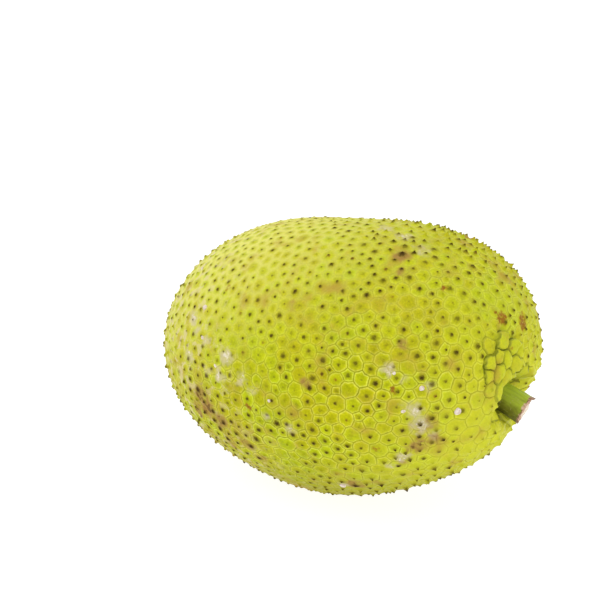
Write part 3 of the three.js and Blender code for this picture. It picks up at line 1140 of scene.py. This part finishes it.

# %% [markdown]
# Living bark is satin and green, and its underside is painted darker olive as a painted shade. Its
# streaks are stretched along the stem, because it grew that way: the points carry their place with
# the height drawn in. Near the break it dried brown.

# %% The bark
STREAK = 1.1 * MM
BLOTCH = 3.5 * MM
PORE = 0.9 * MM
bark_material, tree = new_material("green_bark")
place = add(tree, "TexCoord").outputs["Object"]
drawn_in = add(tree, "Attribute", attribute_name="bark_place").outputs["Vector"]
height = add(tree, "Attribute", attribute_name="below_cut").outputs["Fac"]
upper_side = add(tree, "Attribute", attribute_name="upper").outputs["Fac"]
streaks, blotches, pores = [
    add(tree, "TexNoise", [("Vector", way), ("Scale", 1 / size), ("Detail", detail)]).outputs["Fac"]
    for way, size, detail in [(drawn_in, STREAK, 3.0), (place, BLOTCH, 3.0), (place, PORE, 1.0)]
]
# Painted shade: the bark is painted green on its upper side and dark olive underneath, over its blotches.
blotches_and_painted_shade = add(tree, "Math", [(0, blotches), (1, 1.6), (2, upper_side)], operation="MULTIPLY_ADD").outputs[0]
blotches_and_painted_shade = add(tree, "MapRange", [("Value", blotches_and_painted_shade), ("From Min", -0.3), ("From Max", 1.9)]).outputs[0]
colour = add(tree, "ValToRGB", [("Fac", blotches_and_painted_shade)], stops=[
    (0.0, linear("4A4A16")),
    (0.35, linear("74781F")),
    (0.60, linear("98A62E")),
    (1.0, linear("A6BA30")),
]).outputs["Color"]
shade = add(tree, "MapRange", [
    ("Value", streaks), ("From Min", 0.3), ("From Max", 0.7), ("To Min", 0.82), ("To Max", 1.14),
]).outputs[0]
colour = add(tree, "HueSaturation", [("Value", shade), ("Color", colour)]).outputs["Color"]
pale = add(tree, "MapRange", [
    ("Value", pores), ("From Min", 0.64), ("From Max", 0.72), ("To Max", 0.35),
]).outputs[0]
colour = add(tree, "Mix", [(0, pale), (6, colour), (7, linear("B9B070"))], data_type="RGBA").outputs[2]
ragged = add(tree, "Math", [(0, streaks), (1, -2.2 * MM), (2, height)], operation="MULTIPLY_ADD").outputs[0]
dried_edge = add(tree, "MapRange", [
    ("Value", ragged), ("From Min", -1.0 * MM), ("From Max", -0.2 * MM), ("To Min", 1.0), ("To Max", 0.0),
], interpolation_type="SMOOTHSTEP").outputs[0]
torn = add(tree, "ValToRGB", [("Fac", streaks)], stops=[
    (0.35, linear("5A3A22")),
    (0.52, linear("8A6244")),
    (0.66, linear("D2B496")),
]).outputs["Color"]
colour = add(tree, "Mix", [(0, dried_edge), (6, colour), (7, torn)], data_type="RGBA").outputs[2]
relief = add(tree, "Bump", [("Height", streaks), ("Strength", 0.6), ("Distance", 0.25 * MM)])
relief = add(tree, "Bump", [
    ("Height", pores), ("Strength", 0.4), ("Distance", 0.12 * MM), ("Normal", relief.outputs[0]),
])
roughness = add(tree, "MapRange", [("Value", blotches), ("To Min", 0.42), ("To Max", 0.7)]).outputs[0]
shader = add(tree, "BsdfPrincipled", [
    ("Base Color", colour),
    ("Roughness", roughness),
    ("IOR", 1.45),
    ("Specular IOR Level", 0.3),
    ("Normal", relief.outputs[0]),
])
add(tree, "OutputMaterial", [("Surface", shader.outputs[0])])

# %% [markdown]
# The wood was torn across its fibres. They stand end on, so the face is matt, cream and stippled.
# It is pinker towards the bark, and the pith in its middle is a little darker.

# %% The torn wood
FIBRE = 0.7 * MM  # real fibres are finer, and these are as coarse as it takes to see them
BUNDLE = 2.4 * MM
wood_material, tree = new_material("torn_stem_wood")
place = add(tree, "TexCoord").outputs["Object"]
share = add(tree, "Attribute", attribute_name="wood_share").outputs["Fac"]
fibres, bundles = [
    add(tree, "TexNoise", [("Vector", place), ("Scale", 1 / size), ("Detail", detail)]).outputs["Fac"]
    for size, detail in [(FIBRE, 4.0), (BUNDLE, 2.0)]
]
uneven = add(tree, "Math", [(0, bundles), (1, 0.5), (2, share)], operation="MULTIPLY_ADD").outputs[0]
colour = add(tree, "ValToRGB", [("Fac", uneven)], stops=[
    (0.25, linear("D8C4A0")),
    (0.45, linear("EFE4D0")),
    (0.95, linear("E8D6C2")),
    (1.0, linear("C49C80")),
]).outputs["Color"]
shade = add(tree, "MapRange", [
    ("Value", fibres), ("From Min", 0.3), ("From Max", 0.7), ("To Min", 0.78), ("To Max", 1.08),
]).outputs[0]
colour = add(tree, "HueSaturation", [("Value", shade), ("Color", colour)]).outputs["Color"]
torn_ends = add(tree, "Bump", [("Height", fibres), ("Strength", 0.7), ("Distance", 0.3 * MM)])
shader = add(tree, "BsdfPrincipled", [
    ("Base Color", colour),
    ("Roughness", 0.85),
    ("Normal", torn_ends.outputs[0]),
])
add(tree, "OutputMaterial", [("Surface", shader.outputs[0])])
stem = finished(stalk_bm, "stem", bark_material)
stem.data.materials.append(wood_material)
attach(stem, "root")
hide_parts("stalk")
